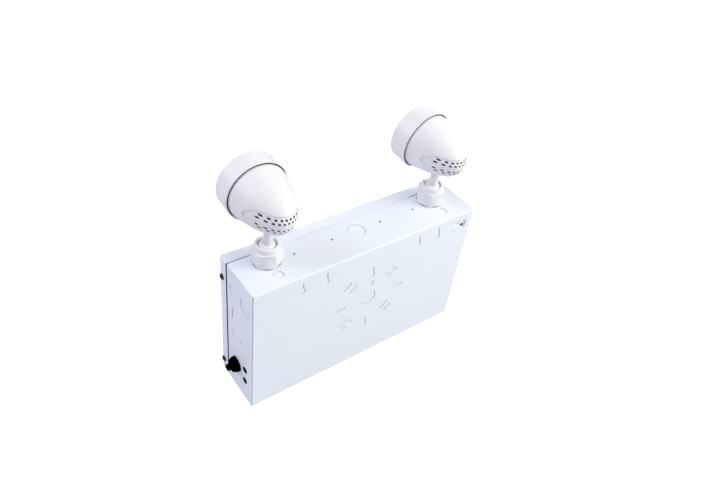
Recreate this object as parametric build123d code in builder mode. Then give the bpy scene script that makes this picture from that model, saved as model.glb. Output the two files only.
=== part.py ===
from build123d import *
import os
from math import cos, radians, sin, sqrt

os.makedirs("parts", exist_ok=True)

# A twin head emergency light: a flat steel battery box for a wall, with two aimable lamp
# heads on ball swivels. X runs along the wall, Y points into the wall, Z points up, and the
# origin is the middle of the back panel. Right is +X, as seen by a person facing the unit.

# Steel box and cover
box_width = 320.0
box_height = 193.0
unit_depth = 75.8
sheet = 1.2
bend_radius = 1.8
body_depth = 58.4
cover_clearance = 0.2
lip_reach = 13.0
side_lip_inset = 4.0
top_lip_length = 199.0
cover_top_flange = 16.8
cover_side_flange = 14.4
cover_corner_notch = 1.0
corner_relief = 3.0
corner_joint_width = 0.7
corner_joint_depth = 0.9

# Half sheared knockouts, each cut round by a fine line but for two ties, and their places
# measured down from the top of the box or forward from its back
pressed = 0.7
shear_line = 0.35
tie_width = 1.8
keyhole_radius = 4.4
keyhole_slot = 4.2
keyhole_pitch = 11.0
trade_knockout_radius = 11.1
small_knockout_radius = 4.9
side_knockout_radius = 9.3
top_pilot_radius = 6.0
screw_pattern = 44.45
octagon_slots = (38.4, 49.6)
octagon_slot_length = 15.0
knockout_centre_x = -2.0
knockout_centre_drop = 82.0
hanging_offsets = (68.0, 100.0)
hanging_drop = 21.5
side_trade_place = (17.0, 31.5)
side_knockout_place = (43.8, 30.0)
side_slot_place = (46.5, 67.8)
side_slot_length = 16.0
side_slot_width = 3.4
side_small_places = ((42.3, 97.0), (22.8, 99.5))
top_trade_depth = 37.0
top_pilot_depth = 16.5
cable_recess_inset = 25.3
cable_recess_drop = 19.0
cable_recess_width = 29.0
cable_recess_height = 14.0
cable_recess_depth = 1.6
cable_recess_corner = 3.0
cable_hole_radius = 2.9
cable_hole_inset = 4.4
cable_lance = ((14.9, 4.3), (5.5, 5.4), (-5.3, 0.3))
top_hole_radius = 1.5
top_holes = (35.4, 87.0)
top_hole_depth = 37.5

# Cover screws
screw_head_radius = 4.2
screw_head_height = 2.6
screw_shank_radius = 1.9
screw_length = 8.0
screw_heights = (19.0, box_height - 29.0)
screw_depth = 70.5

# Ball swivels
swivel_spread = 119.0
swivel_depth = 43.0
ball_radius = 12.0
ball_height = 16.5
ball_clearance = 0.3
nut_corner_radius = 18.4
nut_hex_height = 19.0
nut_shoulder_height = 20.3
nut_collar_radius = 14.2
nut_height = 26.0
nut_mouth_height = 22.5
nut_rim_round = 1.4
nut_angles = {"right": 32.25, "left": 50.2}
washer_thickness = 0.6
washer_radius = 15.4
hub_radius = 13.4
hub_height = 12.0
hub_reach = 14.0
thread_radius = 10.9
thread_clearance = 0.1
wire_radius = 3.4
seat_floor = 2.6
seat_wall = 5.0
lock_nut_corner_radius = 16.0
lock_nut_height = 4.0
stem_radius = 5.4
stem_thread_radius = 4.4
stem_nut_corner_radius = 7.2
stem_nut_height = 4.0

# Lamp heads
head_rise = 60.9
ring_length = 24.8
ring_front_radius = 36.9
ring_rear_radius = 37.9
ring_wall = 1.4
ring_gap_depth = 8.0
head_length = 87.4
stem_station = 51.3
shell_radius = 35.0
shell_wall = 2.4
shell_fullness = 1.28
shell_roundness = 2.4
spigot_radius = 34.4
lens_radius = 34.2
lens_thickness = 2.5
lens_lip = 2.0
lens_opening_radius = 31.5
gasket_thickness = 1.5
recess_depth = 1.4
recess_round = 2.0
recess_nose_round = 4.0
recess_half_height = 13.2
recess_front = 45.5
recess_shoulder = 70.0
vent_width = 2.3
vent_height = 2.0
vent_pitch = 4.8
vent_inner_row = 4.3
vent_outer_row = 8.3
boss_radius = 9.0
boss_top = 18.0
stem_shoulder = 24.0
lamp_radius = 25.0
lamp_depth = 33.0
lamp_base_radius = 7.0
lamp_base_length = 7.0
lamp_front = 9.5
carrier_thickness = 1.2
socket_radius = 8.0
socket_length = 9.0
head_aims = {"right": (1.5, 3.2, 1.1), "left": (6.1, 5.0, -3.4)}

# Test switch and pilot lamps on the right wall
switch_depth = 37.0
switch_height = 44.7
bezel_radius = 10.2
bezel_foot = 3.2
bezel_height = 8.3
bezel_end_radius = 7.9
button_radius = 4.3
button_reach = 14.1
button_clearance = 0.1
button_collar_radius = 5.4
switch_hole_radius = 8.0
switch_body_radius = 9.4
switch_body_length = 22.0
pilot_depth = 16.8
pilot_heights = (34.1, 53.9)
pilot_radius = 4.6
pilot_hole_radius = 3.4
pilot_length = 12.0

# Inside the box
battery_length = 151.0
battery_width = 65.0
battery_height = 94.0
battery_inset = 20.0
battery_standoff = 2.2
strap_width = 20.0
strap_foot = 12.0
strap_height = 46.0
strap_screw_radius = 3.4
transformer_inset = 88.0
transformer_length = 57.0
transformer_tall = 48.0
transformer_thick = 28.0
coil_overhang = 5.0
board_length = 100.0
board_tall = 70.0
board_thickness = 1.6
board_inset = 72.0
board_height = 125.0
board_gap = 10.0
board_edge = 6.0
standoff_radius = 3.0

# Places worked out from the sizes above
floor_z = -box_height / 2
top_z = box_height / 2
half_width = box_width / 2
half_height = box_height / 2
lip_inset = sheet + cover_clearance
battery_start = battery_inset - half_width
transformer_centre = half_width - transformer_inset
board_centre = half_width - board_inset
socket_reach = ball_radius + ball_clearance
tail_start = ring_length - 1.0
stem_bore_radius = stem_radius + thread_clearance
sides = {"right": 1, "left": -1}


def above_floor(height):
    """Height over the outside of the box's bottom, turned into Z."""
    return floor_z + height


def side_wall(side):
    """Plane on a side wall: local X runs forward from the wall face, local Y up."""
    return Plane(origin=(side * half_width, 0, 0), x_dir=(0, -1, 0), z_dir=(-1, 0, 0))


top_wall = Plane(origin=(0, 0, top_z), x_dir=(1, 0, 0), z_dir=(0, 0, -1))
back_wall = Plane.XZ


def below_top(drop):
    """Depth under the outside of the box's top, turned into Z."""
    return top_z - drop


def round_mark(x, y, radius, inset, mode):
    """A round knockout; with an inset its outline shrinks and two ties go over its edge."""
    with Locations((x, y)):
        Circle(radius - inset, mode=mode)
        if inset:
            Rectangle(tie_width, 2 * radius, mode=mode)


def slot_mark(x, y, length, width, angle, inset, mode):
    """A slot with round ends, its long side at that angle; the ties are at its two ends."""
    with Locations((x, y)):
        SlotOverall(length - 2 * inset, width - 2 * inset, rotation=angle, mode=mode)
        if inset:
            Rectangle(length, tie_width, rotation=angle, mode=mode)


def keyhole_mark(x, y, inset, mode):
    """An upright keyhole with its round end at (x, y) and its slot above that."""
    round_mark(x, y, keyhole_radius, inset, mode)
    slot_length = keyhole_pitch + keyhole_slot
    slot_mark(x, y + keyhole_pitch / 2, slot_length, keyhole_slot, 90, inset, mode)


def back_marks(inset, mode):
    """Hanging keyholes and the outlet box pattern of the back panel."""
    middle = below_top(knockout_centre_drop)
    for offset_x in hanging_offsets:
        for side in (1, -1):
            x = knockout_centre_x + side * offset_x
            keyhole_mark(x, below_top(hanging_drop), inset, mode)
    for side in (1, -1):
        upright = middle + side * screw_pattern - keyhole_pitch / 2
        keyhole_mark(knockout_centre_x, upright, inset, mode)
        across = knockout_centre_x + side * screw_pattern
        round_mark(across + keyhole_pitch / 4, middle, keyhole_radius, inset, mode)
        slot_length = keyhole_pitch + keyhole_slot
        slot_mark(across - keyhole_pitch / 4, middle, slot_length, keyhole_slot, 0, inset, mode)
    for angle in (45, 135, 225, 315):
        for distance in octagon_slots:
            slot_x = knockout_centre_x + distance * cos(radians(angle))
            slot_z = middle + distance * sin(radians(angle))
            slot_mark(slot_x, slot_z, octagon_slot_length, keyhole_slot, angle + 90, inset, mode)
    round_mark(knockout_centre_x, middle, trade_knockout_radius, inset, mode)
    small_rise = 2.2 * trade_knockout_radius
    round_mark(knockout_centre_x, middle + small_rise, small_knockout_radius, inset, mode)


def side_marks(inset, mode):
    """Conduit and cable knockouts of a side wall."""
    forward, drop = side_trade_place
    round_mark(forward, below_top(drop), trade_knockout_radius, inset, mode)
    forward, drop = side_knockout_place
    round_mark(forward, below_top(drop), side_knockout_radius, inset, mode)
    forward, drop = side_slot_place
    slot_mark(forward, below_top(drop), side_slot_length, side_slot_width, 90, inset, mode)
    for forward, drop in side_small_places:
        round_mark(forward, below_top(drop), small_knockout_radius, inset, mode)


def top_marks(inset, mode):
    """Knockouts of the top wall."""
    round_mark(0, top_trade_depth, trade_knockout_radius, inset, mode)
    for side in (1, -1):
        round_mark(side * swivel_spread, top_pilot_depth, top_pilot_radius, inset, mode)


def whole_marks(plane, draw):
    """Sketch of the full outlines of one wall's knockouts."""
    with BuildSketch(plane) as marks:
        draw(0.0, Mode.ADD)
    return marks.sketch


def shear_lines(plane, draw):
    """Sketch of the fine lines cut round the same knockouts, broken by their ties."""
    with BuildSketch(plane) as lines:
        draw(0.0, Mode.ADD)
        draw(shear_line, Mode.SUBTRACT)
    return lines.sketch


# Folded steel box, open at the front, with lips that stand inside the cover
with BuildPart() as chassis:
    with BuildSketch(back_wall):
        Rectangle(box_width, box_height)
    extrude(amount=body_depth)
    fillet(chassis.edges().filter_by(Axis.Y), radius=bend_radius)
    with BuildSketch(back_wall.offset(body_depth)):
        Rectangle(box_width - 2 * side_lip_inset, box_height - 2 * lip_inset)
    extrude(amount=lip_reach)
    fillet(chassis.faces().sort_by(Axis.Y)[-1].edges(), radius=bend_radius)
    offset(amount=-sheet, openings=chassis.faces().sort_by(Axis.Y)[0])
    # The top and bottom lips stop short of the corners
    lip_margin = half_width - side_lip_inset - top_lip_length / 2
    for side in sides.values():
        for end in (1, -1):
            lip_z = end * (top_z - lip_inset - sheet / 2)
            lip_x = side * (top_lip_length + lip_margin) / 2
            with BuildSketch(back_wall.offset(body_depth)):
                with Locations((lip_x, lip_z)):
                    Rectangle(lip_margin, sheet)
            extrude(amount=lip_reach, mode=Mode.SUBTRACT)
    # Each mark is sunk into the outside, stands out inside as much, and is cut round
    for wall, draw, inward in (
        (back_wall, back_marks, 1),
        (top_wall, top_marks, 1),
        (side_wall(1), side_marks, 1),
        (side_wall(-1), side_marks, -1),
    ):
        extrude(whole_marks(wall, draw), amount=inward * pressed, mode=Mode.SUBTRACT)
        extrude(whole_marks(wall.offset(inward * sheet), draw), amount=inward * pressed)
        extrude(shear_lines(wall, draw), amount=inward * 2 * sheet, mode=Mode.SUBTRACT)
    # Dished cable entry in the upper left corner of the back, with its hole and its lance
    entry_x = cable_recess_inset - half_width
    entry_z = below_top(cable_recess_drop)
    with BuildSketch(back_wall.offset(sheet)):
        with Locations((entry_x, entry_z)):
            RectangleRounded(
                cable_recess_width + 2 * sheet,
                cable_recess_height + 2 * sheet,
                cable_recess_corner + sheet,
            )
    extrude(amount=cable_recess_depth)
    with BuildSketch(back_wall):
        with Locations((entry_x, entry_z)):
            RectangleRounded(cable_recess_width, cable_recess_height, cable_recess_corner)
    extrude(amount=cable_recess_depth, mode=Mode.SUBTRACT)
    hole_x = entry_x - cable_recess_width / 2 + cable_hole_inset
    hole_z = entry_z - cable_recess_height / 2 + cable_hole_inset
    with BuildSketch(back_wall):
        with Locations((hole_x, hole_z)):
            Circle(cable_hole_radius)
    extrude(amount=3 * cable_recess_depth, mode=Mode.SUBTRACT)
    with BuildSketch(back_wall):
        with BuildLine():
            ThreePointArc(*[(entry_x + x, entry_z + z) for x, z in cable_lance])
        trace(line_width=2 * shear_line)
    extrude(amount=3 * cable_recess_depth, mode=Mode.SUBTRACT)
    # Holes in the top for the swivels and the four small screws
    with BuildSketch(top_wall):
        with Locations(*[(side * swivel_spread, swivel_depth) for side in sides.values()]):
            Circle(thread_radius + thread_clearance)
        with Locations(*[(side * x, top_hole_depth) for side in sides.values() for x in top_holes]):
            Circle(top_hole_radius)
    extrude(amount=2 * sheet, mode=Mode.SUBTRACT)
    # Holes of the test switch and the pilot lamps, in the right wall
    with BuildSketch(side_wall(1)):
        with Locations((switch_depth, above_floor(switch_height))):
            Circle(switch_hole_radius)
        with Locations(*[(pilot_depth, above_floor(height)) for height in pilot_heights]):
            Circle(pilot_hole_radius)
    extrude(amount=2 * sheet, mode=Mode.SUBTRACT)
    # Screw holes through the side lips, bend reliefs, and the butt joints of the back corners
    for side in sides.values():
        with BuildSketch(side_wall(side)):
            with Locations(*[(screw_depth, above_floor(height)) for height in screw_heights]):
                Circle(screw_shank_radius + cover_clearance)
        extrude(amount=side * (side_lip_inset + 2 * sheet), mode=Mode.SUBTRACT)
        with BuildSketch(side_wall(side)):
            with Locations((body_depth, floor_z + corner_relief / 2)):
                Rectangle(corner_relief, corner_relief)
        extrude(amount=side * (side_lip_inset - cover_clearance), mode=Mode.SUBTRACT)
        bend_drop = bend_radius * (sqrt(2) - 1)
        with BuildSketch(Plane.XY):
            with Locations((side * half_width, 0)):
                Rectangle(
                    2 * (bend_drop + corner_joint_depth),
                    corner_joint_width,
                    rotation=side * 45,
                )
        extrude(amount=half_height, both=True, mode=Mode.SUBTRACT)
chassis.part.label = "chassis"
export_step(chassis.part, "parts/chassis.step")

# Cover pan: a plain front with four flanges that lie flush with the box
with BuildPart() as front_cover:
    with BuildSketch(back_wall.offset(unit_depth)):
        Rectangle(box_width, box_height)
    extrude(amount=-cover_top_flange)
    fillet(front_cover.edges().filter_by(Axis.Y), radius=bend_radius)
    fillet(front_cover.faces().sort_by(Axis.Y)[0].edges(), radius=bend_radius)
    offset(amount=-sheet, openings=front_cover.faces().sort_by(Axis.Y)[-1])
    trim = cover_top_flange - cover_side_flange
    notch_run = half_width - top_lip_length / 2
    for side in sides.values():
        with BuildSketch(side_wall(side)):
            with Locations((unit_depth - cover_side_flange - trim / 2, 0)):
                Rectangle(trim, box_height - 2 * sheet)
        extrude(amount=side * sheet, mode=Mode.SUBTRACT)
        with BuildSketch(side_wall(side)):
            with Locations(*[(screw_depth, above_floor(height)) for height in screw_heights]):
                Circle(screw_shank_radius + cover_clearance)
        extrude(amount=side * sheet, mode=Mode.SUBTRACT)
        # Past the ends of the box's lips the top and bottom flanges are a little shorter
        notch_x = side * (top_lip_length + notch_run) / 2
        with BuildSketch(back_wall.offset(unit_depth - cover_top_flange)):
            with Locations((notch_x, 0)):
                Rectangle(notch_run, box_height)
        extrude(amount=cover_corner_notch, mode=Mode.SUBTRACT)
front_cover.part.label = "front_cover"
export_step(front_cover.part, "parts/front_cover.step")

# Round head screws that hold the cover, two on each side
with BuildPart() as cover_screws:
    for side in sides.values():
        for height in screw_heights:
            centre = (side * half_width, -screw_depth, above_floor(height))
            with BuildSketch(Plane(origin=centre, x_dir=(side, 0, 0), z_dir=(0, -side, 0))):
                with BuildLine():
                    Polyline((-screw_length, 0), (screw_head_height, 0))
                    ThreePointArc(
                        (screw_head_height, 0),
                        (screw_head_height * 0.62, screw_head_radius * 0.72),
                        (0, screw_head_radius),
                    )
                    Polyline(
                        (0, screw_head_radius),
                        (0, screw_shank_radius),
                        (-screw_length, screw_shank_radius),
                        (-screw_length, 0),
                    )
                make_face()
            revolve(axis=Axis(centre, (1, 0, 0)))
cover_screws.part.label = "cover_screws"
export_step(cover_screws.part, "parts/cover_screws.step")


def head_axes(yaw, pitch, roll):
    """Unit vectors of a lamp head: forward along its axis, sideways and up."""
    forward = Vector(0, -1, 0).rotate(Axis.X, -pitch).rotate(Axis.Z, yaw)
    sideways = Vector(1, 0, 0).rotate(Axis.Z, yaw).rotate(Axis((0, 0, 0), forward), roll)
    return forward, sideways, forward.cross(sideways)


def tail_profile(radius, length):
    """Points of the egg shaped tail, from the lens ring back to the tip."""
    points = []
    for share in (0.0, 0.2, 0.4, 0.6, 0.78, 0.9, 0.97, 1.0):
        reach = ring_length + (length - ring_length) * share
        across = radius * (1 - share**shell_fullness) ** (1 / shell_roundness)
        points.append((across, -reach))
    return points


def tail_half(plane, radius, length):
    """Half section of the tail, begun a little in front of the ring's rear edge."""
    points = tail_profile(radius, length)
    with BuildSketch(plane) as half:
        with BuildLine():
            Polyline((0, -length), (0, -tail_start), (radius, -tail_start), points[0])
            Spline(*points, tangents=((0, -1), (-1, 0)))
        make_face()
    return half.sketch


for name, side in sides.items():
    foot = Vector(side * swivel_spread, -swivel_depth, top_z)
    upright = Plane(origin=foot, x_dir=(1, 0, 0), z_dir=(0, -1, 0))
    level = Plane(origin=foot)
    spin = Axis(foot, (0, 0, 1))
    ball = foot + Vector(0, 0, ball_height)

    # Rubber washer between the box and the swivel
    with BuildPart() as washer:
        with BuildSketch(level):
            Circle(washer_radius)
            Circle(thread_radius + thread_clearance, mode=Mode.SUBTRACT)
        extrude(amount=washer_thickness)
    washer.part.label = f"swivel_washer_{name}"
    export_step(washer.part, f"parts/swivel_washer_{name}.step")

    # Threaded hub that passes through the box and carries the ball's seat
    with BuildPart() as hub:
        with BuildSketch(upright):
            Polygon(
                (seat_wall + wire_radius, -hub_reach),
                (thread_radius, -hub_reach),
                (thread_radius, washer_thickness),
                (hub_radius, washer_thickness),
                (hub_radius, hub_height),
                (socket_reach, hub_height),
                (socket_reach, seat_floor),
                (seat_wall + wire_radius, seat_floor),
                align=None,
            )
        revolve(axis=spin)
    hub.part.label = f"swivel_hub_{name}"
    export_step(hub.part, f"parts/swivel_hub_{name}.step")

    # Lock nut under the top of the box
    with BuildPart() as lock_nut:
        with BuildSketch(level.offset(-sheet)):
            RegularPolygon(lock_nut_corner_radius, 6)
            Circle(thread_radius + thread_clearance, mode=Mode.SUBTRACT)
        extrude(amount=-lock_nut_height)
    lock_nut.part.label = f"lock_nut_{name}"
    export_step(lock_nut.part, f"parts/lock_nut_{name}.step")

    # Hexagonal nut with a round collar, hollowed to a socket over the ball
    with BuildPart() as swivel_nut:
        with BuildSketch(level.offset(washer_thickness)):
            RegularPolygon(nut_corner_radius, 6, rotation=nut_angles[name])
        extrude(amount=nut_shoulder_height - washer_thickness)
        with BuildSketch(upright):
            Polygon(
                (0, 0),
                (nut_corner_radius, 0),
                (nut_corner_radius, nut_hex_height),
                (nut_collar_radius, nut_shoulder_height),
                (0, nut_shoulder_height),
                align=None,
            )
        revolve(axis=spin, mode=Mode.INTERSECT)
        with BuildSketch(level.offset(washer_thickness)):
            Circle(nut_collar_radius)
        extrude(amount=nut_height - washer_thickness)
        mouth = sqrt(socket_reach**2 - (nut_mouth_height - ball_height) ** 2)
        with BuildSketch(upright):
            with BuildLine():
                Polyline(
                    (mouth, nut_mouth_height),
                    (mouth, nut_height),
                    (0, nut_height),
                    (0, 0),
                    (hub_radius + thread_clearance, 0),
                    (hub_radius + thread_clearance, hub_height + thread_clearance),
                    (socket_reach, hub_height + thread_clearance),
                    (socket_reach, ball_height),
                )
                RadiusArc((socket_reach, ball_height), (mouth, nut_mouth_height), -socket_reach)
            make_face()
        revolve(axis=spin, mode=Mode.SUBTRACT)
        fillet(swivel_nut.faces().sort_by(Axis.Z)[-1].edges(), radius=nut_rim_round)
    swivel_nut.part.label = f"swivel_nut_{name}"
    export_step(swivel_nut.part, f"parts/swivel_nut_{name}.step")

    # Turning seat under the ball
    with BuildPart() as ball_seat:
        with BuildSketch(level.offset(seat_floor)):
            Circle(ball_radius)
            Circle(seat_wall, mode=Mode.SUBTRACT)
        extrude(amount=hub_height - seat_floor)
        with Locations(Plane(origin=ball)):
            Sphere(socket_reach, mode=Mode.SUBTRACT)
    ball_seat.part.label = f"ball_seat_{name}"
    export_step(ball_seat.part, f"parts/ball_seat_{name}.step")

    forward, sideways, up = head_axes(*head_aims[name])
    front = ball + up * head_rise + forward * stem_station
    head_axis = Axis(front, forward)
    section = Plane(origin=front, x_dir=sideways, z_dir=up * -1)
    face = Plane(origin=front, x_dir=sideways, z_dir=forward)
    flank = Plane(origin=front, x_dir=forward, z_dir=sideways * -1)
    stem = Plane(origin=ball, x_dir=sideways, z_dir=up)

    # Ball and hollow stem in one piece, threaded at its upper end
    with BuildPart() as ball_stem:
        with Locations(stem):
            Sphere(ball_radius)
        with BuildSketch(stem):
            Circle(stem_radius)
        extrude(amount=head_rise - stem_shoulder)
        with BuildSketch(stem):
            Circle(stem_thread_radius)
        extrude(amount=head_rise - boss_top + stem_nut_height + 1.0)
        with BuildSketch(stem):
            Circle(wire_radius)
        extrude(amount=head_rise, both=True, mode=Mode.SUBTRACT)
    ball_stem.part.label = f"ball_stem_{name}"
    export_step(ball_stem.part, f"parts/ball_stem_{name}.step")

    # Nut that holds the stem in the head
    with BuildPart() as stem_nut:
        with BuildSketch(stem.offset(head_rise - boss_top)):
            RegularPolygon(stem_nut_corner_radius, 6)
            Circle(stem_thread_radius + thread_clearance, mode=Mode.SUBTRACT)
        extrude(amount=stem_nut_height)
    stem_nut.part.label = f"stem_nut_{name}"
    export_step(stem_nut.part, f"parts/stem_nut_{name}.step")

    # Hollow of the head, with the boss of the stem left standing in it
    gasket_front = lens_lip + lens_thickness
    shell_front = gasket_front + gasket_thickness
    carrier_seat = lamp_front + 2 * carrier_thickness
    ledge_radius = spigot_radius - 2 * shell_wall
    with BuildPart() as hollow:
        revolve(
            tail_half(section, shell_radius - shell_wall, head_length - shell_wall),
            axis=head_axis,
        )
        with BuildSketch(section):
            Polygon(
                (0, -shell_front),
                (spigot_radius - shell_wall, -shell_front),
                (spigot_radius - shell_wall, -carrier_seat),
                (ledge_radius, -carrier_seat),
                (ledge_radius, -carrier_seat - shell_wall),
                (spigot_radius - shell_wall, -carrier_seat - 2 * shell_wall),
                (shell_radius - shell_wall, -ring_length),
                (0, -ring_length),
                align=None,
            )
        revolve(axis=head_axis)
        with BuildSketch(stem):
            Circle(boss_radius)
        extrude(amount=head_rise - boss_top, mode=Mode.SUBTRACT)

    # Outer skin that is taken away to scoop the vented band out of the tail
    with BuildPart() as skin:
        revolve(
            tail_half(section, shell_radius + recess_round, head_length + recess_round),
            axis=head_axis,
        )
        revolve(
            tail_half(section, shell_radius - recess_depth, head_length - recess_depth),
            axis=head_axis,
            mode=Mode.SUBTRACT,
        )
        nose = (-recess_front, 0)
        run = recess_shoulder - recess_front
        swell = (run**2 + recess_half_height**2) / (2 * recess_half_height)
        past_tail = -head_length - 2 * recess_round
        with BuildSketch(flank) as eye:
            with BuildLine():
                RadiusArc(nose, (-recess_shoulder, recess_half_height), -swell)
                Polyline(
                    (-recess_shoulder, recess_half_height),
                    (past_tail, recess_half_height),
                    (past_tail, -recess_half_height),
                    (-recess_shoulder, -recess_half_height),
                )
                RadiusArc((-recess_shoulder, -recess_half_height), nose, -swell)
            make_face()
            fillet(eye.vertices().sort_by_distance(flank.from_local_coords(nose))[0], recess_nose_round)
        extrude(amount=shell_radius + recess_round, both=True, mode=Mode.INTERSECT)
        # The scoop's floor runs up into its walls in a wide curve, all round but at its seam
        curved = skin.faces().filter_by(GeomType.REVOLUTION)
        floor_edges = curved.sort_by(SortBy.AREA)[0].edges().filter_by(
            lambda edge: abs((edge @ 0.5 - front).dot(up)) > 1
        )
        fillet(floor_edges, radius=recess_round)

    # Head shell: an egg shaped moulding with a plain spigot for the ring and vents in its tail
    with BuildPart() as shell:
        revolve(tail_half(section, shell_radius, head_length), axis=head_axis)
        with BuildSketch(face.offset(-shell_front)):
            Circle(spigot_radius)
        extrude(amount=-(tail_start - shell_front))
        add(hollow.part, mode=Mode.SUBTRACT)
        add(skin.part, mode=Mode.SUBTRACT)
        with BuildSketch(stem):
            Circle(stem_bore_radius)
        extrude(amount=head_rise - stem_shoulder, mode=Mode.SUBTRACT)
        with BuildSketch(stem):
            Circle(stem_thread_radius + thread_clearance)
        extrude(amount=head_rise - boss_top + 1.0, mode=Mode.SUBTRACT)
        # Vents run straight back, in two pairs of rows set half a pitch apart
        with BuildSketch(face.offset(-stem_station - boss_radius)):
            for row in (-vent_outer_row, vent_outer_row):
                with Locations((0, row)):
                    with GridLocations(vent_pitch, 0, 10, 1):
                        Rectangle(vent_width, vent_height)
            for row in (-vent_inner_row, vent_inner_row):
                with Locations((0, row)):
                    with GridLocations(vent_pitch, 0, 11, 1):
                        Rectangle(vent_width, vent_height)
        extrude(amount=-head_length, mode=Mode.SUBTRACT)
    shell.part.label = f"head_shell_{name}"
    export_step(shell.part, f"parts/head_shell_{name}.step")

    # Lens ring: a slightly flared band with a lip over the lens and a rib on the spigot
    with BuildPart() as ring:
        with BuildSketch(section):
            Polygon(
                (lens_opening_radius, 0),
                (ring_front_radius, 0),
                (ring_rear_radius, -ring_length),
                (ring_rear_radius - ring_wall, -ring_length),
                (spigot_radius + thread_clearance, -ring_length + ring_gap_depth),
                (spigot_radius + thread_clearance, -lens_lip),
                (lens_opening_radius, -lens_lip),
                align=None,
            )
        revolve(axis=head_axis)
        rim = ring.edges().filter_by(GeomType.CIRCLE).filter_by(
            lambda edge: abs(edge.radius - ring_front_radius) < 0.01
        )
        fillet(rim, radius=1.6)
    ring.part.label = f"lens_ring_{name}"
    export_step(ring.part, f"parts/lens_ring_{name}.step")

    # Clear lens behind the lip, and its gasket on the shell's front edge
    with BuildPart() as lens:
        with BuildSketch(face.offset(-lens_lip)):
            Circle(lens_radius)
        extrude(amount=-lens_thickness)
    lens.part.label = f"lens_{name}"
    export_step(lens.part, f"parts/lens_{name}.step")

    with BuildPart() as gasket:
        with BuildSketch(face.offset(-gasket_front)):
            Circle(lens_radius)
            Circle(spigot_radius - shell_wall, mode=Mode.SUBTRACT)
        extrude(amount=-gasket_thickness)
    gasket.part.label = f"lens_gasket_{name}"
    export_step(gasket.part, f"parts/lens_gasket_{name}.step")

    # Pressed carrier that centres the lamp's rim on the ledge inside the shell
    with BuildPart() as carrier:
        with BuildSketch(section):
            Polygon(
                (lamp_radius - 2 * carrier_thickness, -carrier_seat),
                (spigot_radius - shell_wall - cover_clearance, -carrier_seat),
                (spigot_radius - shell_wall - cover_clearance, -carrier_seat + carrier_thickness),
                (lamp_radius + 2 * carrier_thickness, -carrier_seat + carrier_thickness),
                (lamp_radius + 2 * carrier_thickness, -lamp_front),
                (lamp_radius + thread_clearance, -lamp_front),
                (lamp_radius + thread_clearance, -carrier_seat + carrier_thickness),
                (lamp_radius - 2 * carrier_thickness, -carrier_seat + carrier_thickness),
                align=None,
            )
        revolve(axis=head_axis)
    carrier.part.label = f"lamp_carrier_{name}"
    export_step(carrier.part, f"parts/lamp_carrier_{name}.step")

    # Reflector lamp with a glass bowl, a square base and two pins
    lamp_rim = -carrier_seat + carrier_thickness
    lamp_back = -lamp_front - lamp_depth
    neck_radius = lamp_radius - 3 * carrier_thickness
    with BuildPart() as lamp:
        with BuildSketch(section):
            with BuildLine():
                Polyline((0, lamp_back), (0, -lamp_front), (lamp_radius, -lamp_front), (lamp_radius, lamp_rim))
                Line((lamp_radius, lamp_rim), (neck_radius, lamp_rim))
                Spline(
                    (neck_radius, lamp_rim),
                    (neck_radius * 0.8, lamp_rim - lamp_depth * 0.4),
                    (lamp_base_radius, lamp_back),
                )
                Line((lamp_base_radius, lamp_back), (0, lamp_back))
            make_face()
        revolve(axis=head_axis)
        with BuildSketch(face.offset(lamp_back)):
            Circle(lamp_base_radius)
        extrude(amount=-lamp_base_length)
        with BuildSketch(face.offset(lamp_back - lamp_base_length)):
            with GridLocations(5.3, 0, 2, 1):
                Circle(0.8)
        extrude(amount=-socket_length * 0.7)
    lamp.part.label = f"lamp_{name}"
    export_step(lamp.part, f"parts/lamp_{name}.step")

    # Ceramic socket pushed on the lamp's pins
    with BuildPart() as socket:
        with BuildSketch(face.offset(lamp_back - lamp_base_length)):
            Circle(socket_radius)
            with GridLocations(5.3, 0, 2, 1):
                Circle(0.8 + thread_clearance, mode=Mode.SUBTRACT)
        extrude(amount=-socket_length)
    socket.part.label = f"lamp_socket_{name}"
    export_step(socket.part, f"parts/lamp_socket_{name}.step")


# Test switch: a black bezel outside, a push button through it and the contact block inside
switch_place = (half_width, -switch_depth, above_floor(switch_height))
switch_section = Plane(origin=switch_place, x_dir=(1, 0, 0), z_dir=(0, -1, 0))
switch_face = Plane(origin=switch_place, x_dir=(0, 1, 0), z_dir=(1, 0, 0))
switch_axis = Axis(switch_place, (1, 0, 0))
button_guide = button_radius + button_clearance
button_room = button_collar_radius + 3 * button_clearance
collar_top = bezel_height - 3.8
collar_thickness = 2.0

with BuildPart() as switch_bezel:
    with BuildSketch(switch_section):
        Polygon(
            (0, button_room),
            (0, bezel_radius),
            (bezel_foot, bezel_radius),
            (bezel_height, bezel_end_radius),
            (bezel_height, button_guide),
            (collar_top, button_guide),
            (collar_top, button_room),
            align=None,
        )
    revolve(axis=switch_axis)
    rounded = switch_bezel.edges().filter_by(
        lambda edge: edge.geom_type == GeomType.CIRCLE and edge.radius > button_room + 1
    ).sort_by(Axis.X)[1:]
    fillet(rounded, radius=0.7)
switch_bezel.part.label = "switch_bezel"
export_step(switch_bezel.part, "parts/switch_bezel.step")

with BuildPart() as test_button:
    with BuildSketch(switch_face.offset(collar_top)):
        Circle(button_radius)
    extrude(amount=button_reach - collar_top)
    with BuildSketch(switch_face.offset(collar_top)):
        Circle(button_collar_radius)
    extrude(amount=-collar_thickness)
    fillet(test_button.faces().sort_by(Axis.X)[-1].edges(), radius=1.6)
test_button.part.label = "test_button"
export_step(test_button.part, "parts/test_button.step")

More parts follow.
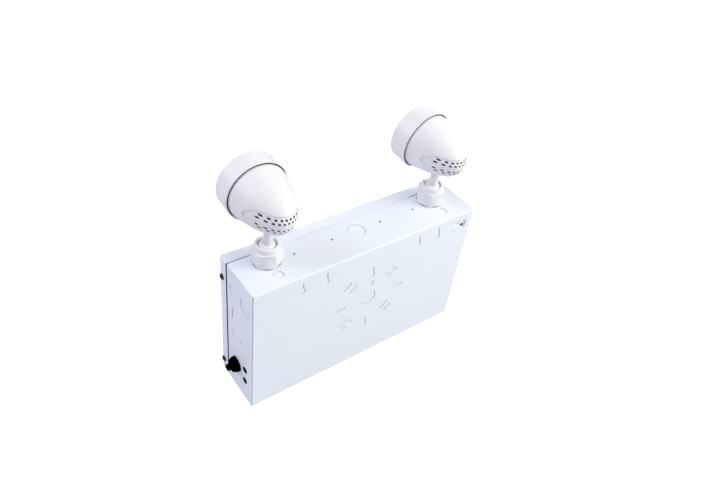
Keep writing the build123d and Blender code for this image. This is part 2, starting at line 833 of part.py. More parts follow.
# Contact block inside the wall, with a neck through the switch hole and two tabs
with BuildPart() as switch_body:
    with BuildSketch(switch_face.offset(-sheet)):
        Circle(switch_body_radius)
    extrude(amount=-switch_body_length)
    with BuildSketch(switch_face.offset(-sheet)):
        Circle(switch_hole_radius - thread_clearance)
    extrude(amount=sheet)
    with BuildSketch(switch_face):
        Circle(button_room)
    extrude(amount=-4 * sheet, mode=Mode.SUBTRACT)
    with BuildSketch(switch_face.offset(-sheet - switch_body_length)):
        with GridLocations(0, 10.0, 1, 2):
            Rectangle(4.8, 0.8)
    extrude(amount=-6.0)
switch_body.part.label = "switch_body"
export_step(switch_body.part, "parts/switch_body.step")

# Two dark pilot lamps, each a low dome on a stem through the wall
with BuildPart() as pilot_lamps:
    for height in pilot_heights:
        pilot_face = Plane(
            origin=(half_width, -pilot_depth, above_floor(height)), x_dir=(0, 1, 0), z_dir=(1, 0, 0)
        )
        with BuildSketch(pilot_face):
            Circle(pilot_radius)
        extrude(amount=1.2)
        with BuildSketch(pilot_face):
            Circle(pilot_hole_radius - thread_clearance)
        extrude(amount=-pilot_length)
pilot_lamps.part.label = "pilot_lamps"
export_step(pilot_lamps.part, "parts/pilot_lamps.step")

# Sealed battery standing on the box's bottom
battery_floor = floor_z + lip_inset + sheet
battery_back = battery_standoff
battery_plan = Plane(
    origin=(battery_start + battery_length / 2, -battery_back - battery_width / 2, battery_floor)
)
with BuildPart() as battery:
    with BuildSketch(battery_plan):
        RectangleRounded(battery_length, battery_width, 2.0)
    extrude(amount=battery_height)
battery.part.label = "battery"
export_step(battery.part, "parts/battery.step")

with BuildPart() as battery_terminals:
    for end in (1, -1):
        with BuildSketch(battery_plan.offset(battery_height)):
            with Locations((end * (battery_length / 2 - 9.0), battery_width / 2 - 9.0)):
                Rectangle(0.8, 4.8)
        extrude(amount=6.0)
battery_terminals.part.label = "battery_terminals"
export_step(battery_terminals.part, "parts/battery_terminals.step")

# Steel strap round the battery, with a screwed foot at each end
strap_level = above_floor(strap_height)
strap_front = battery_back + battery_width
strap_left = battery_start
strap_right = battery_start + battery_length
foot_back = sheet
with BuildPart() as battery_strap:
    with BuildSketch(Plane.XY.offset(strap_level - strap_width / 2)):
        with BuildLine():
            Polyline(
                (strap_left - strap_foot, -foot_back),
                (strap_left, -foot_back),
                (strap_left, -strap_front),
                (strap_right, -strap_front),
                (strap_right, -foot_back),
                (strap_right + strap_foot, -foot_back),
                (strap_right + strap_foot, -foot_back - sheet),
                (strap_right + sheet, -foot_back - sheet),
                (strap_right + sheet, -strap_front - sheet),
                (strap_left - sheet, -strap_front - sheet),
                (strap_left - sheet, -foot_back - sheet),
                (strap_left - strap_foot, -foot_back - sheet),
                close=True,
            )
        make_face()
    extrude(amount=strap_width)
battery_strap.part.label = "battery_strap"
export_step(battery_strap.part, "parts/battery_strap.step")

# Screws of the strap's two feet, self tapping into the back panel
with BuildPart() as strap_screws:
    with BuildSketch(back_wall.offset(foot_back + sheet)):
        foot_middle = (strap_foot + sheet) / 2
        with Locations((strap_left - foot_middle, strap_level), (strap_right + foot_middle, strap_level)):
            Circle(strap_screw_radius)
    extrude(amount=2.0)
strap_screws.part.label = "strap_screws"
export_step(strap_screws.part, "parts/strap_screws.step")

# Mains transformer: a laminated core held by a channel frame whose feet sit on the back panel
core_floor = floor_z + lip_inset + 2 * sheet
core_middle = core_floor + transformer_tall / 2
core_back = sheet + coil_overhang + 1.0
coil_window = transformer_length / 6
with BuildPart() as transformer_core:
    with BuildSketch(back_wall.offset(core_back)):
        with Locations((transformer_centre, core_middle)):
            Rectangle(transformer_length, transformer_tall)
            with GridLocations(transformer_length / 2, 0, 2, 1):
                Rectangle(coil_window, transformer_tall * 0.6, mode=Mode.SUBTRACT)
    extrude(amount=transformer_thick)
transformer_core.part.label = "transformer_core"
export_step(transformer_core.part, "parts/transformer_core.step")

with BuildPart() as transformer_coil:
    with BuildSketch(Plane.XY.offset(core_middle - transformer_tall * 0.3 + ball_clearance)):
        with Locations((transformer_centre, -core_back - transformer_thick / 2)):
            RectangleRounded(
                transformer_length / 2 + coil_window - 2 * ball_clearance,
                transformer_thick + 2 * coil_overhang,
                3.0,
            )
            Rectangle(
                transformer_length / 2 - coil_window + ball_clearance,
                transformer_thick + ball_clearance,
                mode=Mode.SUBTRACT,
            )
    extrude(amount=transformer_tall * 0.6 - 2 * ball_clearance)
transformer_coil.part.label = "transformer_coil"
export_step(transformer_coil.part, "parts/transformer_coil.step")

frame_height = 16.0
frame_half = transformer_length / 2
frame_front = core_back + transformer_thick
with BuildPart() as transformer_frame:
    for end in (1, -1):
        with BuildSketch(Plane.XY.offset(core_middle - frame_height / 2)):
            with BuildLine():
                Polyline(
                    (transformer_centre + end * frame_half, -sheet),
                    (transformer_centre + end * (frame_half + strap_foot), -sheet),
                    (transformer_centre + end * (frame_half + strap_foot), -2 * sheet),
                    (transformer_centre + end * (frame_half + sheet), -2 * sheet),
                    (transformer_centre + end * (frame_half + sheet), -frame_front),
                    (transformer_centre + end * frame_half, -frame_front),
                    close=True,
                )
            make_face()
        extrude(amount=frame_height)
transformer_frame.part.label = "transformer_frame"
export_step(transformer_frame.part, "parts/transformer_frame.step")

# Charger board on four standoffs, with its relay, terminal block and capacitor
board_back = sheet + board_gap
board_front = board_back + board_thickness
board_z = above_floor(board_height)
with BuildPart() as board_standoffs:
    with BuildSketch(back_wall.offset(sheet)):
        with Locations((board_centre, board_z)):
            with GridLocations(board_length - 2 * board_edge, board_tall - 2 * board_edge, 2, 2):
                RegularPolygon(standoff_radius, 6)
    extrude(amount=board_gap)
board_standoffs.part.label = "board_standoffs"
export_step(board_standoffs.part, "parts/board_standoffs.step")

with BuildPart() as charger_board:
    with BuildSketch(back_wall.offset(board_back)):
        with Locations((board_centre, board_z)):
            RectangleRounded(board_length, board_tall, 2.0)
    extrude(amount=board_thickness)
charger_board.part.label = "charger_board"
export_step(charger_board.part, "parts/charger_board.step")

with BuildPart() as board_screws:
    with BuildSketch(back_wall.offset(board_front)):
        with Locations((board_centre, board_z)):
            with GridLocations(board_length - 2 * board_edge, board_tall - 2 * board_edge, 2, 2):
                Circle(standoff_radius * 0.9)
    extrude(amount=1.8)
board_screws.part.label = "board_screws"
export_step(board_screws.part, "parts/board_screws.step")

with BuildPart() as relay:
    with BuildSketch(back_wall.offset(board_front)):
        with Locations((board_centre - board_length * 0.2, board_z + board_tall * 0.12)):
            Rectangle(29.0, 12.7)
    extrude(amount=16.0)
relay.part.label = "relay"
export_step(relay.part, "parts/relay.step")

with BuildPart() as terminal_block:
    with BuildSketch(back_wall.offset(board_front)):
        with Locations((board_centre, board_z - board_tall * 0.36)):
            Rectangle(40.0, 10.0)
            with GridLocations(10.0, 0, 4, 1):
                Rectangle(5.0, 5.0, mode=Mode.SUBTRACT)
    extrude(amount=12.0)
terminal_block.part.label = "terminal_block"
export_step(terminal_block.part, "parts/terminal_block.step")

with BuildPart() as capacitor:
    with BuildSketch(back_wall.offset(board_front)):
        with Locations((board_centre + board_length * 0.25, board_z + board_tall * 0.12)):
            Circle(8.0)
    extrude(amount=22.0)
    fillet(capacitor.faces().sort_by(Axis.Y)[0].edges(), radius=1.0)
capacitor.part.label = "capacitor"
export_step(capacitor.part, "parts/capacitor.step")

# Earth screw on the back panel
with BuildPart() as earth_screw:
    with BuildSketch(back_wall.offset(sheet)):
        with Locations((transformer_centre + 2 * strap_foot + frame_half, core_middle)):
            RegularPolygon(4.6, 6)
    extrude(amount=3.2)
earth_screw.part.label = "earth_screw"
export_step(earth_screw.part, "parts/earth_screw.step")
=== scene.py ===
from math import radians

import bmesh
import bpy
import numpy as np
from mathutils import Matrix, Vector


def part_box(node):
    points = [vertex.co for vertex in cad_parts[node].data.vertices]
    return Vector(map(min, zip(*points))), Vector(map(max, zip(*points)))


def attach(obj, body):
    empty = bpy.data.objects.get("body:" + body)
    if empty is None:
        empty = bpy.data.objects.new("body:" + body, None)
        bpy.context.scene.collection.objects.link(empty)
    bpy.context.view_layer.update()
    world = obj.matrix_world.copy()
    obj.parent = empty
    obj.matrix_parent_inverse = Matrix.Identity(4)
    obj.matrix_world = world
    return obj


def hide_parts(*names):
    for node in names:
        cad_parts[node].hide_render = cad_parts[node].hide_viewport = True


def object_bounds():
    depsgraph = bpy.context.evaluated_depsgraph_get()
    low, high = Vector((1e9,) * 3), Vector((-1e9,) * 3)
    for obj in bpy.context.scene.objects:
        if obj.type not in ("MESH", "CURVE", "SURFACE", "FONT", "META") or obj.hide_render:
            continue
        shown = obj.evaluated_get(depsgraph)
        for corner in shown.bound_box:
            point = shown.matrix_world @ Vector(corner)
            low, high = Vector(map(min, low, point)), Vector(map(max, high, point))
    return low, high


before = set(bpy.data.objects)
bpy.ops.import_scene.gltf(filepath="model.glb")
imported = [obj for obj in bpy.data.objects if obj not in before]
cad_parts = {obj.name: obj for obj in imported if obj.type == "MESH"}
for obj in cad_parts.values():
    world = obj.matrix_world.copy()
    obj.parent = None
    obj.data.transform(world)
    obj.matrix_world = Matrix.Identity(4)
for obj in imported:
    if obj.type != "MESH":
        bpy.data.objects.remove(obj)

cad_box = [list(corner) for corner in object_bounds()]
scene = bpy.context.scene
scene.view_settings.view_transform = "Standard"


# Camera. It stands behind the unit, on the side of the test switch, and looks down at the
# back panel and the top of the box, with a small roll, as the photograph does.
camera_azimuth = 138.79
camera_elevation = 40.54
camera_roll = 8.48
camera_place = (0.39851, 0.42648, 0.60528)
film_width = 36.0
focal_length = 33.33
nearest_seen = 0.01
camera_data = bpy.data.cameras.new("camera")
camera_data.sensor_width = film_width
camera_data.lens = focal_length
camera_data.clip_start = nearest_seen
camera = bpy.data.objects.new("camera", camera_data)
scene.collection.objects.link(camera)
scene.camera = camera


def camera_turn(azimuth, elevation, roll):
    """Turn of a camera that looks back at the origin from that azimuth and elevation."""
    turn = Matrix.Rotation(radians(azimuth), 3, "Z")
    tip = Matrix.Rotation(radians(90 - elevation), 3, "X")
    return turn @ tip @ Matrix.Rotation(radians(roll), 3, "Z")


camera.matrix_world = Matrix.Translation(camera_place) @ camera_turn(
    camera_azimuth, camera_elevation, camera_roll
).to_4x4()


def linear(code):
    """An sRGB hex colour as linear red, green, blue and alpha."""
    channels = [int(code[place:place + 2], 16) / 255 for place in (1, 3, 5)]
    return [c / 12.92 if c <= 0.04045 else ((c + 0.055) / 1.055) ** 2.4 for c in channels] + [1.0]


def add_node(material, kind, values=None, links=None, **settings):
    """Add one shader node: its settings, the constants of its sockets and the links into it."""
    node = material.node_tree.nodes.new(kind)
    for name, value in settings.items():
        setattr(node, name, value)
    for socket, value in (values or {}).items():
        node.inputs[socket].default_value = value
    for socket, source in (links or {}).items():
        material.node_tree.links.new(source, node.inputs[socket])
    return node


# Studio. A white room lights the unit from all round, twice as strongly from above as from
# the sides, and two soft lamps light its back and top and the end with the switch. The pale
# card under it keeps its shadow, and throws up less light than it shows to the camera.
world = bpy.data.worlds.new("studio")
scene.world = world
world.use_nodes = True
world.node_tree.nodes.clear()
room_horizon = 0.38
room_zenith = 0.76
height = add_node(
    world,
    "ShaderNodeSeparateXYZ",
    links={0: add_node(world, "ShaderNodeTexCoord").outputs["Generated"]},
)
brightness = add_node(
    world,
    "ShaderNodeMapRange",
    {"From Min": 0.0, "From Max": 1.0, "To Min": room_horizon, "To Max": room_zenith},
    {"Value": height.outputs["Z"]},
)
path = add_node(world, "ShaderNodeLightPath")
seen = add_node(
    world,
    "ShaderNodeMath",
    links={0: path.outputs["Is Camera Ray"], 1: path.outputs["Is Glossy Ray"]},
    operation="MAXIMUM",
)
seen = add_node(
    world,
    "ShaderNodeMath",
    links={0: seen.outputs[0], 1: path.outputs["Is Transmission Ray"]},
    operation="MAXIMUM",
)
room = add_node(
    world,
    "ShaderNodeBackground",
    {"Color": linear("#EFEFFF")},
    {"Strength": brightness.outputs[0]},
)
paper = add_node(world, "ShaderNodeBackground", {"Color": linear("#FFFFFF"), "Strength": 1.0})
shown = add_node(
    world,
    "ShaderNodeMixShader",
    links={0: seen.outputs[0], 1: room.outputs[0], 2: paper.outputs[0]},
)
add_node(world, "ShaderNodeOutputWorld", links={"Surface": shown.outputs[0]})


def soft_lamp(name, place, aim, size, power, colour):
    """A square lamp at a place, turned to face the aim; metres and watts."""
    data = bpy.data.lights.new(name, "AREA")
    data.size = size
    data.energy = power
    data.color = linear(colour)[:3]
    lamp = bpy.data.objects.new(name, data)
    turn = (Vector(aim) - Vector(place)).to_track_quat("-Z", "Y")
    lamp.matrix_world = Matrix.Translation(place) @ turn.to_matrix().to_4x4()
    scene.collection.objects.link(lamp)


soft_lamp("over_the_back", (-1.2, 1.2, 1.2), (0, 0, 0.05), 1.5, 34.7, "#FFFFE4")
soft_lamp("beside_the_front", (1.4, -0.9, 1.3), (0, 0, 0), 1.4, 16.1, "#FFFFF6")

card_reach = 3.0
card_drop = 0.0002
card_z = cad_box[0][2] - card_drop
card_mesh = bpy.data.meshes.new("card")
card_mesh.from_pydata(
    [(x * card_reach, y * card_reach, card_z) for x, y in ((-1, -1), (1, -1), (1, 1), (-1, 1))],
    [],
    [(0, 1, 2, 3)],
)
card = bpy.data.objects.new("card", card_mesh)
scene.collection.objects.link(card)
card_finish = bpy.data.materials.new("white_card")
card_finish.use_nodes = True
card_finish.node_tree.nodes.clear()
path = add_node(card_finish, "ShaderNodeLightPath")
matt = add_node(card_finish, "ShaderNodeBsdfDiffuse", {"Color": linear("#F6F6F8")})
bounce = add_node(card_finish, "ShaderNodeBsdfDiffuse", {"Color": linear("#D3D4DE")})
lift = add_node(card_finish, "ShaderNodeEmission", {"Color": linear("#FFFFFF"), "Strength": 0.5})
lifted = add_node(
    card_finish, "ShaderNodeAddShader", links={0: matt.outputs[0], 1: lift.outputs[0]}
)
card_shown = add_node(
    card_finish,
    "ShaderNodeMixShader",
    links={0: path.outputs["Is Camera Ray"], 1: bounce.outputs[0], 2: lifted.outputs[0]},
)
add_node(card_finish, "ShaderNodeOutputMaterial", links={"Surface": card_shown.outputs[0]})
card_mesh.materials.append(card_finish)


def finish(name, shades, roughness, patch, grain, relief, sockets=None):
    """One finish: two close shades in patches, and a fine grain raised as bump.

    The colour runs between the two shades with a noise whose patches are patch metres wide.
    The bump is a second noise, its grains grain metres apart and relief metres high.
    """
    material = bpy.data.materials.new(name)
    material.use_nodes = True
    surface = material.node_tree.nodes["Principled BSDF"]
    surface.inputs["Roughness"].default_value = roughness
    for socket, value in (sockets or {}).items():
        surface.inputs[socket].default_value = value
    place = add_node(material, "ShaderNodeTexCoord").outputs["Object"]
    patches = add_node(
        material, "ShaderNodeTexNoise", {"Scale": 1 / patch, "Detail": 3.0}, {"Vector": place}
    )
    shade = add_node(
        material,
        "ShaderNodeMixRGB",
        {1: linear(shades[0]), 2: linear(shades[1])},
        {0: patches.outputs[0]},
    )
    material.node_tree.links.new(shade.outputs[0], surface.inputs["Base Color"])
    grains = add_node(
        material, "ShaderNodeTexNoise", {"Scale": 1 / grain, "Detail": 2.0}, {"Vector": place}
    )
    bump = add_node(
        material,
        "ShaderNodeBump",
        {"Strength": 1.0, "Distance": relief},
        {"Height": grains.outputs[0]},
    )
    material.node_tree.links.new(bump.outputs[0], surface.inputs["Normal"])
    return material


join_distance = 0.000002


def smoothed(name, material, body, edge=0.0, sharp_angle=32.0):
    """A copy of a solid's mesh, its triangles joined and its curved faces shaded smooth.

    With an edge, in metres, its sharp edges are rounded off by that much.
    """
    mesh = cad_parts[name].data.copy()
    joined = bmesh.new()
    joined.from_mesh(mesh)
    bmesh.ops.remove_doubles(joined, verts=joined.verts, dist=join_distance)
    joined.to_mesh(mesh)
    joined.free()
    mesh.materials.clear()
    mesh.materials.append(material)
    mesh.polygons.foreach_set("material_index", np.zeros(len(mesh.polygons), dtype=np.int32))
    mesh.shade_smooth()
    mesh.set_sharp_from_angle(angle=radians(sharp_angle))
    piece = bpy.data.objects.new(f"{name}_finished", mesh)
    scene.collection.objects.link(piece)
    if edge:
        rounding = piece.modifiers.new("rounding", "BEVEL")
        rounding.width = edge
        rounding.segments = 2
        rounding.limit_method = "ANGLE"
    flats = piece.modifiers.new("flats", "WEIGHTED_NORMAL")
    flats.keep_sharp = True
    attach(piece, body)
    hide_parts(name)
    return piece


# Box and cover. Both are folded from 1.2 mm steel and powder coated in one cool white; the
# coat flows out to a soft gloss with a faint orange peel, 1.5 mm from crest to crest. The
# cover is pushed over the lips of the box.
powder_coat = finish("powder_coated_steel", ("#E4EAF6", "#E8EDF9"), 0.36, 0.012, 0.0015, 0.00002)
box = smoothed("chassis", powder_coat, "housing")
cover = smoothed("front_cover", powder_coat, "housing")
# Painted shade: the lips and the step behind them, and the inner faces and cut edges of the
# cover's flanges, take a near-black finish that stands in for the deep shade in the side seams
painted_seam_shade = finish("painted_seam_shade", ("#08080A", "#101014"), 0.7, 0.004, 0.0008, 0.00001)
box.data.materials.append(painted_seam_shade)
cover.data.materials.append(painted_seam_shade)
wall_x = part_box("front_cover")[1][0]
flange_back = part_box("front_cover")[1][1]
step_y = -0.0584
step_margin = 0.0004
panel_back = -0.0744
lip_zone = 0.012
flange_zone = 0.0021
square_on = 0.9
# Painted shade on the box: its lips and the step behind them
for face in box.data.polygons:
    on_step = face.center.y < step_y + step_margin and abs(face.normal.x) < square_on
    by_side = abs(face.center.x) > wall_x - lip_zone
    if by_side and (face.center.y < flange_back or on_step):
        face.material_index = 1
# Painted shade on the cover: the inner faces and cut edges of its flanges
for face in cover.data.polygons:
    by_side = abs(face.center.x) > wall_x - flange_zone and face.center.y > panel_back
    if by_side and (face.normal.x * face.center.x < 0 or face.normal.y > square_on):
        face.material_index = 1


# Cover screws. Four black zinc plated sheet metal screws with a domed head and a cross
# recess hold the cover's flanges to the lips; their thread has a pitch of 1.4 mm. The dark
# passivated zinc is smooth and gives only a faint gloss.
black_zinc = finish(
    "black_zinc_steel",
    ("#060607", "#0C0C0E"),
    0.14,
    0.001,
    0.0004,
    0.000003,
    {"Specular IOR Level": 0.3},
)
thread_pitch = 0.0014
thread_depth = 0.00035
cross_reach = 0.0021
cross_half_width = 0.0005
cross_depth = 0.0015
cross_edge = 0.0001
screw_shank_radius = 0.0019
screw_shank_length = 0.008


def turned(profile, count):
    """Rings of points made by turning (radius, height) pairs about Z.

    Ring i has count points at (radius cos t, radius sin t, height), t in equal steps.
    """
    steps = np.linspace(0, 2 * np.pi, count, endpoint=False)
    radius, height = np.array(profile, dtype=float).T[:, :, None]
    level = np.broadcast_to(height, (len(profile), count))
    return np.stack([radius * np.cos(steps), radius * np.sin(steps), level], axis=2)


def put(rings, origin, sideways, upward, outward):
    """The same rings with their X, Y and Z laid along three unit vectors from an origin."""
    return rings @ np.array([sideways, upward, outward]) + np.array(origin)


def skin(name, parts, material, body, nodes, sharp_angle=32.0):
    """One piece from several closed skins, each an array of rings from its back to its front.

    Face (i, j) joins points j and j + 1 of rings i and i + 1, and a fan about the middle of
    the first and last rings closes the ends. A ring runs anticlockwise seen from the front,
    so all faces look outward. The piece takes the place of the named solids, if any.
    """
    points = []
    faces = []
    for rings in parts:
        start = len(points)
        count = rings.shape[1]
        points += [tuple(point) for point in rings.reshape(-1, 3)]
        after = np.roll(np.arange(count), -1)
        for row in range(len(rings) - 1):
            base = start + row * count
            faces += [
                (base + j, base + k, base + count + k, base + count + j)
                for j, k in zip(range(count), after.tolist())
            ]
        points += [tuple(rings[0].mean(axis=0)), tuple(rings[-1].mean(axis=0))]
        back, front = len(points) - 2, len(points) - 1
        last = start + (len(rings) - 1) * count
        faces += [(back, start + k, start + j) for j, k in zip(range(count), after.tolist())]
        faces += [(front, last + j, last + k) for j, k in zip(range(count), after.tolist())]
    mesh = bpy.data.meshes.new(name)
    mesh.from_pydata(points, [], faces)
    mesh.materials.append(material)
    mesh.shade_smooth()
    mesh.set_sharp_from_angle(angle=radians(sharp_angle))
    piece = bpy.data.objects.new(name, mesh)
    scene.collection.objects.link(piece)
    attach(piece, body)
    if nodes:
        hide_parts(*nodes)
    return piece


def cross_screw(head_radius, head_height, length):
    """Rings of a screw along Z, its head's seat at the origin.

    The shank's radius is the crest less thread_depth |2 f - 1|, f the fractional part of
    height / pitch - angle / 2 pi. The dome's height is h sqrt(1 - (r / R)^2), h and R the
    head's height and radius, less a cross of two arms whose depth falls evenly from the
    middle to the arms' ends.
    """
    count = 96
    heights = np.arange(-length, 0, thread_pitch / 8)
    shank = turned([(screw_shank_radius, height) for height in heights], count)
    turns = np.arange(count) / count
    share = np.abs(2 * np.mod(heights[:, None] / thread_pitch - turns, 1.0) - 1)
    shank[:, :, :2] *= (1 - thread_depth / screw_shank_radius * share)[:, :, None]
    angles = np.radians(np.linspace(0, 88, 26))
    head = turned([(head_radius * np.cos(a), head_height * np.sin(a)) for a in angles], count)
    across = np.abs(head[:, :, :2]).min(axis=2)
    along = np.abs(head[:, :, :2]).max(axis=2)
    arm = np.clip((cross_half_width - across) / cross_edge + 0.5, 0, 1)
    head[:, :, 2] -= arm * np.clip(1 - along / cross_reach, 0, 1) * cross_depth
    return np.concatenate([shank, head])


low, high = [np.array(corner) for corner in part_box("cover_screws")]
screw_radius = (high[1] - low[1]) / 2
screw_rise = high[0] - wall_x
screws = []
for side in (1, -1):
    for level in (low[2] + screw_radius, high[2] - screw_radius):
        origin = (side * wall_x, (low[1] + high[1]) / 2, level)
        screw = cross_screw(screw_radius, screw_rise, screw_shank_length)
        screws.append(put(screw, origin, (0, side, 0), (0, 0, 1), (side, 0, 0)))
skin("cross_head_screws", screws, black_zinc, "housing", ["cover_screws"])


# Test switch and pilot lamps. Bezel, button and contact block are black moulded nylon, so
# dark that no gloss shows. Each pilot lamp is a dark, unlit dome with a flat rim, pushed
# into its hole from outside.
black_nylon = finish(
    "black_nylon",
    ("#010102", "#020203"),
    0.45,
    0.001,
    0.0005,
    0.000008,
    {"Specular IOR Level": 0.0},
)
dark_lens = finish(
    "dark_lens",
    ("#010101", "#020102"),
    0.2,
    0.001,
    0.002,
    0.000004,
    {"Specular IOR Level": 0.02},
)
smoothed("switch_bezel", black_nylon, "housing")
smoothed("test_button", black_nylon, "button")
smoothed("switch_body", black_nylon, "housing", 0.0003)
low, high = [np.array(corner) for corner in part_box("pilot_lamps")]
pilot_radius = (high[1] - low[1]) / 2
pilot_rise = high[0] - wall_x
pilot_foot = low[0] - wall_x
pilot_stem = 0.72 * pilot_radius
pilot_taper = 0.9
rim_height = 0.3 * pilot_rise
dome_start = 0.42
dome_foot_radius = 0.94 * pilot_radius
dome_radius = 0.86 * pilot_radius
pilot_profile = [
    (pilot_taper * pilot_stem, pilot_foot),
    (pilot_stem, pilot_taper * pilot_foot),
    (pilot_stem, 0.0),
    (pilot_radius, 0.0),
    (pilot_radius, rim_height),
    (dome_foot_radius, dome_start * pilot_rise),
] + [
    (dome_radius * np.cos(a), pilot_rise * (dome_start + (1 - dome_start) * np.sin(a)))
    for a in np.radians(np.linspace(0, 86, 12))
]
pilots = [
    put(
        turned(pilot_profile, 64),
        (wall_x, (low[1] + high[1]) / 2, level),
        (0, 1, 0),
        (0, 0, 1),
        (1, 0, 0),
    )
    for level in (low[2] + pilot_radius, high[2] - pilot_radius)
]
skin("pilot_lamp_domes", pilots, dark_lens, "housing", ["pilot_lamps"])


# Swivels. Each is a white nylon nut over a ball and its hollow stem, moulded with a fine
# matt skin, and screwed through the box top with a zinc plated nut below. The rim of the black
# rubber washer is drawn washer_spread wider, past the flats of the white nut, where it shows as
# a dark line at the nut's foot.
nylon = finish("moulded_nylon", ("#E6E6EC", "#EAEAF0"), 0.38, 0.006, 0.0006, 0.00001)
rubber = finish("black_rubber", ("#1B1B1D", "#222225"), 0.75, 0.002, 0.0004, 0.00002)
washer_spread = 0.001
rim_share = 0.98
zinc = finish(
    "zinc_plated_steel", ("#B9BCC0", "#C9CCCF"), 0.3, 0.002, 0.0005, 0.00001, {"Metallic": 1.0}
)
for side in ("right", "left"):
    smoothed(f"swivel_nut_{side}", nylon, "housing")
    smoothed(f"swivel_hub_{side}", nylon, "housing")
    smoothed(f"ball_seat_{side}", nylon, f"seat_{side}")
    smoothed(f"ball_stem_{side}", nylon, f"head_{side}")
    washer = smoothed(f"swivel_washer_{side}", rubber, "housing")
    low, high = [np.array(corner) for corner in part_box(f"swivel_washer_{side}")]
    points = np.empty(3 * len(washer.data.vertices))
    washer.data.vertices.foreach_get("co", points)
    points = points.reshape(-1, 3)
    away = points[:, :2] - (low + high)[:2] / 2
    reach = np.linalg.norm(away, axis=1, keepdims=True)
    rim = reach > rim_share * (high - low)[0] / 2
    points[:, :2] += np.where(rim, away / reach * washer_spread, 0)
    washer.data.vertices.foreach_set("co", points.ravel())
    washer.data.update()
    smoothed(f"lock_nut_{side}", zinc, "housing", 0.0003)
    smoothed(f"stem_nut_{side}", zinc, f"head_{side}", 0.0003)


# Lamp heads. Each shell is an egg of white ABS with vents in a scooped band, and a ring of
# the same plastic holds the lens and its rubber gasket; the mould was polished, so both
# plastics are fairly glossy. The lens is clear polycarbonate.
abs_white = finish("moulded_abs", ("#E7E7ED", "#EBEBF0"), 0.3, 0.02, 0.0008, 0.000008)
polycarbonate = finish(
    "clear_polycarbonate",
    ("#F4F7F8", "#FAFCFC"),
    0.03,
    0.02,
    0.004,
    0.000004,
    {"Transmission Weight": 1.0, "IOR": 1.58},
)
# Painted shade: a near-black ABS for the shaded inside of the heads
painted_shade_abs = finish("painted_shade_abs", ("#0B0B0D", "#131316"), 0.6, 0.004, 0.0008, 0.000008)


def node_points(name):
    """The corners of a solid's mesh, as rows of an array."""
    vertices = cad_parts[name].data.vertices
    points = np.empty(3 * len(vertices))
    vertices.foreach_get("co", points)
    return points.reshape(-1, 3)


def head_line(side):
    """Middle of a head's lens, and the unit vectors forward along its axis and up its stem.

    The lens is a flat disc, so its points vary least along the axis, and the stem's points
    vary most along the stem.
    """
    lens_points = node_points(f"lens_{side}")
    stem_points = node_points(f"ball_stem_{side}")
    middle = lens_points.mean(axis=0)
    axis = np.linalg.svd(lens_points - middle, full_matrices=False)[2][2]
    axis *= np.sign(axis @ (middle - node_points(f"head_shell_{side}").mean(axis=0)))
    stem = np.linalg.svd(stem_points - stem_points.mean(axis=0), full_matrices=False)[2][0]
    return middle, axis, stem * np.sign(stem[2])


# Painted shade: the inside of the shell, the walls of its vents and the step behind the ring take
# a near-black ABS that stands in for the shade inside the head and in the ring's gap. The walls of
# the scooped band look up or down within its height, and the walls of the vents look across the
# axis, behind vent_start and within vent_reach.
band_half_height = 0.016
band_wall = 0.6
vent_wall = 0.05
vent_reach = 0.0105
vent_start = -0.041
for side in ("right", "left"):
    middle, axis, stem = head_line(side)
    shell = smoothed(f"head_shell_{side}", abs_white, f"head_{side}")
    smoothed(f"lens_ring_{side}", abs_white, f"head_{side}")
    ring_back = ((node_points(f"lens_ring_{side}") - middle) @ axis).min()
    shell_back = ((node_points(f"head_shell_{side}") - middle) @ axis).min()
    heart = middle + axis * (ring_back + shell_back) / 2
    # Painted shade goes on the faces chosen below
    shell.data.materials.append(painted_shade_abs)
    for face in shell.data.polygons:
        place = np.array(face.center) - middle
        normal = np.array(face.normal)
        station, rise = place @ axis, place @ stem
        on_band = abs(normal @ stem) > band_wall and abs(rise) < band_half_height
        inward = normal @ (np.array(face.center) - heart) < 0 and not on_band
        across_axis = abs(normal @ axis) < vent_wall
        in_vent = across_axis and abs(rise) < vent_reach and station < vent_start
        if inward or in_vent or station > ring_back:
            face.material_index = 1
    smoothed(f"lens_gasket_{side}", rubber, f"head_{side}")
    smoothed(f"lens_{side}", polycarbonate, f"head_{side}", 0.0003)


# Reflector lamps. A pressed glass bowl with a facetted aluminium mirror, a small quartz
# capsule in its middle and a ceramic base with two pins, held by a bright pressed carrier
# and a ceramic socket. Its axis, front and pins are where the solid lamp has them.
mirror = finish(
    "aluminium_mirror", ("#DCDEE2", "#E6E8EA"), 0.1, 0.002, 0.001, 0.000002, {"Metallic": 1.0}
)
quartz = finish(
    "quartz_glass",
    ("#F0F2F4", "#F8FAFA"),
    0.04,
    0.004,
    0.002,
    0.000003,
    {"Transmission Weight": 1.0, "IOR": 1.46},
)
ceramic = finish("white_ceramic", ("#CFCBC2", "#DAD6CE"), 0.55, 0.003, 0.0004, 0.00001)
bright_steel = finish(
    "bright_pressed_steel",
    ("#C4C6CA", "#D2D4D8"),
    0.24,
    0.004,
    0.0008,
    0.000008,
    {"Metallic": 1.0},
)
filament_wire = finish(
    "tungsten", ("#6E6C6A", "#7E7C7A"), 0.4, 0.0005, 0.0002, 0.000002, {"Metallic": 1.0}
)


def bowl_profile(radius, depth, neck, wall, swell=0.6):
    """Half section of the open bowl: its outside from the neck to the rim, then its inside.

    The outside's radius at share s of the depth is neck + (radius - neck) s^swell.
    """
    shares = np.linspace(0, 1, 9)
    outer = [(neck + (radius - neck) * s**swell, depth * (s - 1)) for s in shares]
    inner = [(out - wall, height + wall) for out, height in outer[:-1][::-1]]
    return outer + [(radius - wall, 0.0)] + inner


